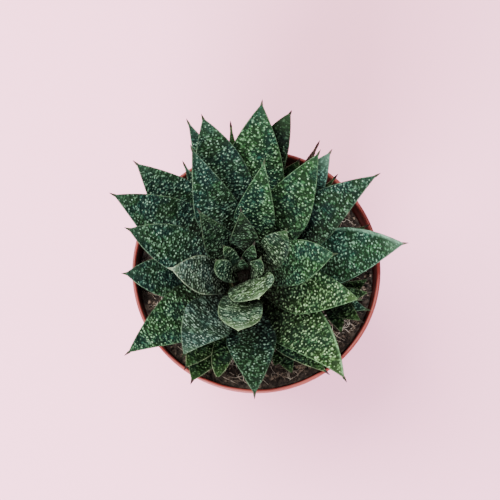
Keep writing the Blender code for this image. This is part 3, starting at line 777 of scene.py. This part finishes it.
crownShape = {
    "radius": 6.2, "height": 6.0, "cheek": 0.2, "domeTurn": 1.5, "domePoints": 9, "sides": 32,
    # the growing tip's body takes the shade skin: painted shade, as it sits in the dark middle of the rosette
    "bodySkin": "shade", "start": 2.2, "foot": 2.5, "step": 0,  # the blades' starts, and how each rises
    "usual": {"thick": 1.8, "spring": 0.5, "base": 0.5, "skin": "fine", "warts": "specks"},
    "leaves": [
        # azimuth, reach, tip over the stem's top, width, and what isn't usual
        (160, 13.5, 20, 9, {"bow": 2.5, "blunt": 0.9, "thick": 2.0, "warts": "ripples", "edge": 1.1}),
        (39, 10.3, 18, 8, {"bow": -2, "blunt": 0.4, "warts": "ripples"}),
        (130, 14.5, 20, 6, {"blunt": 0.8}),
        (68, 14, 20, 7, {"blunt": 0.2, "skin": "shade"}),
        (98, 6.5, 17, 5, {"thick": 1.6, "skin": "shade"}),
        (298, 15, 16, 22, {
            "blunt": 1, "thick": 2.0, "spring": 0.9, "base": 0.7, "skin": "pale", "warts": "ridges",
        }),
    ],
}

offsetShape = {
    "sides": 20, "bodySkin": "olive", "start": 0.7, "foot": 2.4, "step": 0.35,
    "stubRadius": 2.4, "stubDepth": 5.0, "stubRise": 3.0,
    "stubTop": 0.7, "stubFoot": 0.6,  # shares of the stub's radius
    "usual": {"thick": 1.8, "skin": "olive", "warts": "specks"},
    "plants": {
        # where it stands, then azimuth, reach, tip over the rim, width, and what isn't usual
        "offset_1": ((34, -13.5), [
            (25, 24, -3, 8, {"bow": -1}), (340, 22, 1.4, 8, {"skin": "dark"}), (5, 22, 0, 8, {}),
            (322, 22, 1.6, 9, {}), (290, 21, -4, 8, {"bow": 1, "warts": "bare"}), (70, 15, -3, 7, {}),
        ]),
        "offset_2": ((12, -37.5), [
            (291, 16, -4, 7, {}), (250, 12, -5, 6, {}), (335, 12, -5, 6, {"warts": "bare"}),
            (60, 9, -4, 5, {"warts": "bare"}),
        ]),
    },
}


def turnedArrays(profile, sides, centre):
    # a closed body from (radius, height) points that run down its outside, both ends on the axis
    rings = [p for p in profile if p[0] > 0]
    turns = roundTurns(sides)
    points = [[centre[0] + r * math.cos(a), centre[1] + r * math.sin(a), z] for r, z in rings for a in turns]
    points += [[*centre, profile[0][1]], [*centre, profile[-1][1]]]
    index, after, quads = ringFaces(len(rings), sides, down=True)
    top = np.stack([np.full(sides, len(points) - 2), index[0], after[0]], axis=-1)
    bottom = np.stack([np.full(sides, len(points) - 1), after[-1], index[-1]], axis=-1)
    points = np.array(points)
    return points, quads, np.concatenate([top, bottom]), np.hstack([np.zeros((len(points), 4)), points])


def leafyPiece(node, shape, profile, centre, leaves, tipFrom, footFrom):
    # a turned body and its blades in one mesh, with a material slot for each skin
    parts = [turnedArrays(profile, shape["sides"], centre)]
    skinNames = [shape["bodySkin"]]
    for i, (azimuth, reach, tip, width, changes) in enumerate(leaves):
        form = leafForm(width, **{**shape["usual"], **changes})
        form.update(
            azimuth=math.radians(azimuth), reach=reach * mm, tip=tipFrom + tip * mm, centre=centre,
            start=shape["start"] * mm, foot=footFrom + (shape["foot"] + i * shape["step"]) * mm,
        )
        parts.append(wholeBlade(form, 701 + i))
        skinNames.append(form["skin"])
    piece = makePiece(node + "_fine", joinArrays(parts), skins[shape["bodySkin"]])
    order = list(dict.fromkeys(skinNames))
    for skinName in order[1:]:
        piece.data.materials.append(skins[skinName])
    slots = [
        np.full(len(part[kind]), order.index(skinName))
        for kind in (1, 2)
        for part, skinName in zip(parts, skinNames)
    ]
    piece.data.polygons.foreach_set("material_index", np.concatenate(slots).astype(np.int32))
    fasten(piece, node)


def makeCrown():
    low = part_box("crown")[0][2]
    radius, height, cheek = crownShape["radius"] * mm, crownShape["height"] * mm, crownShape["cheek"]
    curve = [
        (radius * math.cos(a), low + height * (cheek + (1 - cheek) * math.sin(a)))
        for a in np.linspace(crownShape["domeTurn"], 0, crownShape["domePoints"])
    ]
    profile = [(0, low + height)] + curve + [(radius, low), (0, low)]
    leafyPiece("crown", crownShape, profile, stemAxis, crownShape["leaves"], low, low)


def makeOffset(node, place, leaves):
    centre = np.array(place) * mm
    radius = offsetShape["stubRadius"] * mm
    top = soilHeight + offsetShape["stubRise"] * mm
    low = soilHeight - offsetShape["stubDepth"] * mm
    profile = [
        (0, top + mm), (radius * offsetShape["stubTop"], top), (radius, soilHeight),
        (radius * offsetShape["stubFoot"], low), (0, low),
    ]
    leafyPiece(node, offsetShape, profile, centre, leaves, rimHeight, soilHeight)


makeCrown()
for node, (place, leaves) in offsetShape["plants"].items():
    makeOffset(node, place, leaves)
print("crown and offsets made")


# Stem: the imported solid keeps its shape

stemLook = {
    "skin": (0.016, 0.030, 0.010), "scar": (0.032, 0.026, 0.014), "patches": (260.0, 1400.0),
    "roughness": 0.7, "specular": 0.1, "bump": (0.6, 0.6),
}


def dressStem():
    material, tree, patches = startMaterial("stemSkin", *stemLook["patches"])
    colour = mixColour(tree, patches["Patches"], stemLook["skin"], stemLook["scar"])
    bump = (patches["Mottle"], *stemLook["bump"])
    dressShader(tree, colour, stemLook["roughness"], stemLook["specular"], bump)
    bpy.data.objects["stem"].material_slots[0].material = material


dressStem()


# Pot: the same profile as the solid, turned finer, with drain holes

potShape = {
    "rimRadius": 60.0, "collarHeight": 15.0, "collarDraft": 1.2, "shoulder": 1.8, "baseRadius": 42.0,
    "wall": 1.2, "lip": 1.7, "lipRise": 0.85, "lipPoints": 11, "floor": 2.0, "floorFillet": 0.8,
    "chamfer": 1.5, "footRound": 0.5, "sides": 160,
    # the moulded roundings, each point as steps out and up from the corner that it softens
    "underLip": ((0, -2.6), (-0.35, -2.9), (-0.7, -3.1)),
    "underCollar": ((0.15, 0.6), (-0.15, 0.15), (-0.6, -0.1)),
    "underShoulder": ((0.2, 0.2), (0, -0.2)),
    "drains": 6, "drainRadius": 4.0, "drainCircle": 27.0, "drainDepth": 8.0, "drainSides": 40,
    "sharpAngle": 35,
}
potLook = {
    "clay": (0.148, 0.0200, 0.0150), "worn": (0.188, 0.037, 0.029), "shade": (0.11, 0.0140, 0.0105),
    # painted shade: the near-black colour below darkens the inner wall above the soil
    "wallShade": (0.030, 0.0040, 0.0034), "patches": (28.0, 900.0), "wornShare": 0.45,
    "wallShadeRadius": 58.9, "wallShadeDepth": 13, "wallShadeFade": 3, "wallShadeShare": 0.97,  # on the inner wall over the soil
    "roughness": 0.40, "roughMottle": 0.16, "specular": 0.3, "bump": (0.25, 0.15),
}
collarLow = rimHeight / mm - potShape["collarHeight"]
shoulderLow = collarLow - potShape["shoulder"]
collarRadius = potShape["rimRadius"] - potShape["collarDraft"]


def potOutside(height):
    # radius of the tapered wall, which would reach the shoulder's inner edge at the collar's foot
    top = collarRadius - potShape["shoulder"]
    return potShape["baseRadius"] + (top - potShape["baseRadius"]) * height / collarLow


def potProfile():
    # down from the middle of the floor's upper face, up the inner wall, over the lip and down outside
    wall, rim, base = potShape["wall"], potShape["rimRadius"], potShape["baseRadius"]
    floor, fillet, chamfer = potShape["floor"], potShape["floorFillet"], potShape["chamfer"]
    top = rimHeight / mm
    inside = [
        (0, floor), (base - wall - fillet, floor), (base - wall, floor + fillet),
        (potOutside(shoulderLow) - wall, shoulderLow - wall), (collarRadius - wall, collarLow),
    ]
    middle, half, rise = rim - potShape["lip"] / 2, potShape["lip"] / 2, potShape["lipRise"]
    turns = np.linspace(0, math.pi, potShape["lipPoints"])
    lip = [(middle - half * math.cos(a), top - rise + rise * math.sin(a)) for a in turns]
    corners = {
        "underLip": (rim, top), "underCollar": (collarRadius, collarLow),
        "underShoulder": (potOutside(shoulderLow), shoulderLow),
    }
    outside = [(r + out, z + up) for name, (r, z) in corners.items() for out, up in potShape[name]]
    small = potShape["footRound"]
    foot = [(base, chamfer), (base - small, small), (base - chamfer, 0), (0, 0)]
    return [(r * mm, z * mm) for r, z in inside + lip + outside + foot]


def makePot():
    pot = makePiece("pot_fine", turnedArrays(potProfile(), potShape["sides"], (0, 0))[:3], makePotMaterial())
    radius, circle = potShape["drainRadius"] * mm, potShape["drainCircle"] * mm
    shape = bmesh.new()
    for turn in roundTurns(potShape["drains"]):
        bmesh.ops.create_cone(
            shape, cap_ends=True, segments=potShape["drainSides"], radius1=radius, radius2=radius,
            depth=potShape["drainDepth"] * mm,
            matrix=Matrix.Translation((circle * math.cos(turn), circle * math.sin(turn), 0)),
        )
    mesh = bpy.data.meshes.new("drainCutter")
    shape.to_mesh(mesh)
    shape.free()
    cutter = bpy.data.objects.new("drainCutter", mesh)
    bpy.context.scene.collection.objects.link(cutter)
    holes = pot.modifiers.new("drain holes", "BOOLEAN")
    holes.object = cutter
    bpy.context.view_layer.update()
    ready = bpy.data.meshes.new_from_object(pot.evaluated_get(bpy.context.evaluated_depsgraph_get()))
    pot.modifiers.clear()
    pot.data = ready
    bpy.data.objects.remove(cutter)
    pot.data.set_sharp_from_angle(angle=math.radians(potShape["sharpAngle"]))
    fasten(pot, "pot")


def makePotMaterial():
    material, tree, patches = startMaterial("potPlastic", *potLook["patches"])
    cut = addNode(tree, "SeparateXYZ", Vector=ownPlace(tree))
    clay = mixColour(tree, patches["Patches"], potLook["clay"], potLook["shade"])
    scuff = mathNode(tree, "MULTIPLY", patches["Mottle"], potLook["wornShare"])
    clay = mixColour(tree, scuff, clay, potLook["worn"])
    # painted shade down the inner wall: full from the soil up to 3 mm under the lip, fading out to nothing at
    # the lip
    across = mathNode(tree, "MULTIPLY", cut["X"], cut["X"])
    radius = mathNode(tree, "SQRT", mathNode(tree, "MULTIPLY_ADD", cut["Y"], cut["Y"], across))
    inner = mathNode(tree, "LESS_THAN", radius, potLook["wallShadeRadius"] * mm)
    above = mathNode(tree, "GREATER_THAN", cut["Z"], rimHeight - potLook["wallShadeDepth"] * mm)
    full = rimHeight - potLook["wallShadeFade"] * mm
    fade = addNode(tree, "MapRange", Value=cut["Z"], From_Min=rimHeight, From_Max=full)
    wallShade = mathNode(tree, "MULTIPLY", fade["Result"], mathNode(tree, "MULTIPLY", inner, above))
    wallShade = mathNode(tree, "MULTIPLY", wallShade, potLook["wallShadeShare"])
    colour = mixColour(tree, wallShade, clay, potLook["wallShade"])
    rough = mathNode(tree, "MULTIPLY_ADD", patches["Mottle"], potLook["roughMottle"], potLook["roughness"])
    dressShader(tree, colour, rough, potLook["specular"], (patches["Grain"], *potLook["bump"]))
    return material


makePot()
print("pot made")


# Soil: a lumpy bed with loose crumbs and curled fibres

soilShape = {
    "ringStep": 0.75, "sides": 300, "gap": 0.3, "edgeFlat": 0.2, "edgeDrop": 0.4, "clearOfStem": 13,
    "lump": 0.54, "grit": 0.8, "gritFineness": 0.55,
    "crumbs": 3400, "crumbSize": (0.35, 1.1), "crumbPower": 1.4, "crumbSquash": (0.55, 1.3),
    "crumbReach": 56.0, "crumbRoughness": 0.16, "crumbRise": 0.25,
    "fibres": 620, "fibreRadius": (0.065, 0.221), "fibreLength": (5, 20), "fibreReach": 54.5,
    "fibrePoints": 14, "fibreHop": 0.9, "fibreLift": 0.5, "fibreBend": 0.22, "fibreWander": 0.12,
    "fibreTaper": 0.75, "fibreSides": 3,
}
soilLook = {
    "peat": (0.042, 0.028, 0.022), "damp": (0.0075, 0.0050, 0.0042), "bark": (0.29, 0.215, 0.160),
    "fibre": (0.60, 0.51, 0.42), "patches": (420.0, 2600.0), "fibrePatches": (150.0, 1800.0),
    "bedBark": 0.18, "crumbBark": 0.9, "roughness": 0.72, "roughGrain": 0.25, "specular": 0.3,
    "fibreRoughness": 0.65, "bump": (0.8, 0.5),
}


def soilRelief(x, y):
    # two slow waves and a rough grit
    u, v = x / mm, y / mm
    broad = math.sin(0.21 * u + 0.8) * math.cos(0.17 * v - 0.4)
    fine = math.sin(0.83 * u - 0.46 * v) * math.cos(0.71 * v + 0.39 * u)
    grit = noise.fractal(Vector((u, v, 3.1)) * soilShape["gritFineness"], 0.8, 2.1, 4)
    return (soilShape["lump"] * (0.45 * broad + 0.55 * fine) + soilShape["grit"] * grit) * mm


def makeSoilMaterial(name, barkShare):
    material, tree, patches = startMaterial(name, *soilLook["patches"])
    colour = mixColour(tree, patches["Mottle"], soilLook["damp"], soilLook["peat"])
    bark = mathNode(tree, "MULTIPLY", patches["Patches"], barkShare)
    colour = mixColour(tree, bark, colour, soilLook["bark"])
    rough = mathNode(tree, "MULTIPLY_ADD", patches["Grain"], soilLook["roughGrain"], soilLook["roughness"])
    dressShader(tree, colour, rough, soilLook["specular"], (patches["Grain"], *soilLook["bump"]))
    return material


def makeSoilBed():
    gap, wall, top = soilShape["gap"], potShape["wall"], soilHeight / mm
    edge = collarRadius - wall - gap
    floor = potShape["floor"] + gap
    radii = np.arange(edge - soilShape["edgeFlat"], soilShape["ringStep"], -soilShape["ringStep"])
    profile = [(0, top)] + [(r, top) for r in radii[::-1]] + [
        (edge, top - soilShape["edgeDrop"]), (edge, collarLow + gap),
        (potOutside(shoulderLow) - wall - gap, shoulderLow - wall + gap),
        (potShape["baseRadius"] - wall - 2 * gap - potShape["floorFillet"], floor), (0, floor),
    ]
    profile = [(r * mm, z * mm) for r, z in profile]
    arrays = turnedArrays(profile, soilShape["sides"], (0, 0))[:3]
    for point in arrays[0]:
        if abs(point[2] - soilHeight) < 0.01 * mm:  # only the top is lumpy
            point[2] += soilRelief(point[0], point[1])
    fasten(makePiece("soil_bed", arrays, makeSoilMaterial("peat", soilLook["bedBark"])), "soil")


def freeSpot(rng, reach):
    # a place on the soil, clear of the stem
    while True:
        radius = reach * mm * math.sqrt(rng.random())
        turn = rng.uniform(0, 2 * math.pi)
        x, y = radius * math.cos(turn), radius * math.sin(turn)
        if math.hypot(x - stemAxis[0], y - stemAxis[1]) > soilShape["clearOfStem"] * mm:
            return x, y


def makeCrumbs():
    rng = np.random.default_rng(41)
    ball = bmesh.new()
    bmesh.ops.create_icosphere(ball, subdivisions=1, radius=1)
    corners = np.array([v.co for v in ball.verts])
    faces = np.array([[v.index for v in f.verts] for f in ball.faces])
    ball.free()
    points, triangles = [], []
    for i in range(soilShape["crumbs"]):
        x, y = freeSpot(rng, soilShape["crumbReach"])
        size = rng.uniform(*soilShape["crumbSize"]) ** soilShape["crumbPower"] * mm
        squash = rng.uniform(*soilShape["crumbSquash"], 3) * size
        rough = corners * (1 + rng.normal(0, soilShape["crumbRoughness"], (len(corners), 1))) * squash
        spin = np.array(Matrix.Rotation(rng.uniform(0, 6.28), 3, Vector(rng.normal(0, 1, 3)).normalized()))
        ground = soilHeight + soilRelief(x, y)
        points.append(rough @ spin.T + [x, y, ground + soilShape["crumbRise"] * size])
        triangles.append(faces + i * len(corners))
    arrays = np.concatenate(points), np.zeros((0, 4)), np.concatenate(triangles)
    crumbs = makePiece("soil_crumbs", arrays, makeSoilMaterial("crumbs", soilLook["crumbBark"]))
    crumbs.data.polygons.foreach_set("use_smooth", np.zeros(len(arrays[2]), dtype=bool))
    fasten(crumbs)


def fibreTube(path, radius):
    path = np.array(path)
    direction = unit(np.gradient(path, axis=0))
    level = unit(np.cross(direction, [0.13, 0.21, 0.97]))
    third = np.cross(direction, level)
    taper = (radius * (1 - soilShape["fibreTaper"] * np.linspace(-1, 1, len(path)) ** 4))[:, None]
    sides = soilShape["fibreSides"]
    rings = [path + (level * math.cos(a) + third * math.sin(a)) * taper for a in roundTurns(sides)]
    quads = ringFaces(len(path), sides)[2]
    return np.stack(rings, axis=1).reshape(-1, 3), quads, np.zeros((0, 3)), np.zeros((0, 7))


def fibrePath(rng):
    # a curl that runs over the soil with a low hop, and stops at the wall
    x, y = freeSpot(rng, soilShape["fibreReach"])
    heading = rng.uniform(0, 2 * math.pi)
    bend = rng.normal(0, soilShape["fibreBend"])
    length = rng.uniform(*soilShape["fibreLength"]) * mm
    count = soilShape["fibrePoints"]
    path = []
    for k in range(count):
        if math.hypot(x, y) > (soilShape["fibreReach"] + 1) * mm:
            break
        hop = soilShape["fibreHop"] * math.sin(math.pi * k / (count - 1))
        hop *= 0.3 + 0.7 * abs(math.sin(heading * 3))
        path.append((x, y, soilHeight + soilRelief(x, y) + (soilShape["fibreLift"] + hop) * mm))
        heading += bend + rng.normal(0, soilShape["fibreWander"])
        x += math.cos(heading) * length / count
        y += math.sin(heading) * length / count
    return path


def makeFibreMaterial():
    material, tree, patches = startMaterial("fibre", *soilLook["fibrePatches"])
    colour = mixColour(tree, patches["Patches"], soilLook["fibre"], soilLook["bark"])
    dressShader(tree, colour, soilLook["fibreRoughness"])
    return material


def makeFibres():
    rng = np.random.default_rng(77)
    parts = []
    for _ in range(soilShape["fibres"]):
        path = fibrePath(rng)
        if len(path) >= 5:
            parts.append(fibreTube(path, rng.uniform(*soilShape["fibreRadius"]) * mm))
    fasten(makePiece("soil_fibres", joinArrays(parts)[:3], makeFibreMaterial()))


makeSoilBed()
makeCrumbs()
makeFibres()
print("soil made")


# Floor, light and camera

studio = {
    "floor": (0.94, 0.42, 0.58), "floorMottle": (0.846, 0.3696, 0.5336), "floorPatches": (6.0, 400.0),
    "mottleShare": 0.05, "floorRoughness": 0.8,
    "floorReach": 3.0,  # in metres, as the lamps' places and sizes are
    "world": (1.0, 0.95, 0.97), "worldStrength": 1.0,
    # power, place, size and colour of each lamp
    "lamps": {
        "key": (40.0, (-0.50, 0.36, 1.0), 0.9, (1.0, 0.97, 0.94)),
        "fill": (105.0, (-0.42, -1.35, 0.75), 0.8, (0.92, 0.94, 1.0)),
    },
}


def makeFloor():
    material, tree, patches = startMaterial("floorPaint", *studio["floorPatches"])
    tint = mathNode(tree, "MULTIPLY", patches["Mottle"], studio["mottleShare"])
    colour = mixColour(tree, tint, studio["floor"], studio["floorMottle"])
    dressShader(tree, colour, studio["floorRoughness"])
    reach = studio["floorReach"]
    corners = [(-reach, -reach, 0), (reach, -reach, 0), (reach, reach, 0), (-reach, reach, 0)]
    makePiece("floor", (corners, [(0, 1, 2, 3)], []), material)


def addArea(name, power, place, size, colour):
    lamp = bpy.data.lights.new(name, "AREA")
    lamp.energy = power
    lamp.size = size
    lamp.color = colour
    light = bpy.data.objects.new(name, lamp)
    light.location = place
    aim = Vector((0, 0, rimHeight)) - Vector(place)
    light.rotation_euler = aim.to_track_quat("-Z", "Y").to_euler()
    bpy.context.scene.collection.objects.link(light)


def makeWorld():
    world = bpy.data.worlds.new("softRoom")
    world.use_nodes = True
    background = world.node_tree.nodes["Background"]
    background.inputs["Color"].default_value = (*studio["world"], 1)
    background.inputs["Strength"].default_value = studio["worldStrength"]
    bpy.context.scene.world = world


view = {
    "elevation": 78.0,  # degrees above the floor
    "distance": 480.0,  # from the middle of the rim
    "rimPixels": 124.4, "frame": 500,  # the rim's radius in the photograph, and the photograph's width
    "centre": (256.4, 268.1),  # the rim's middle in the photograph
    "sensor": 36, "nearest": 10.0,
}


def makeCamera():
    data = bpy.data.cameras.new("camera")
    camera = bpy.data.objects.new("camera", data)
    elevation = math.radians(view["elevation"])
    distance = view["distance"] * mm
    target = Vector((0, 0, rimHeight))
    camera.location = target + Vector((0, -math.cos(elevation), math.sin(elevation))) * distance
    camera.rotation_euler = (math.pi / 2 - elevation, 0, 0)
    focal = view["rimPixels"] / potShape["rimRadius"] * view["distance"] / view["frame"]
    data.sensor_width = view["sensor"]
    data.lens = focal * data.sensor_width
    data.shift_x = (view["frame"] / 2 - view["centre"][0]) / view["frame"]
    data.shift_y = (view["centre"][1] - view["frame"] / 2) / view["frame"]
    data.clip_start = view["nearest"] * mm
    bpy.context.scene.collection.objects.link(camera)
    bpy.context.scene.camera = camera


makeFloor()
makeWorld()
for name, settings in studio["lamps"].items():
    addArea(name, *settings)
makeCamera()
print("studio made")
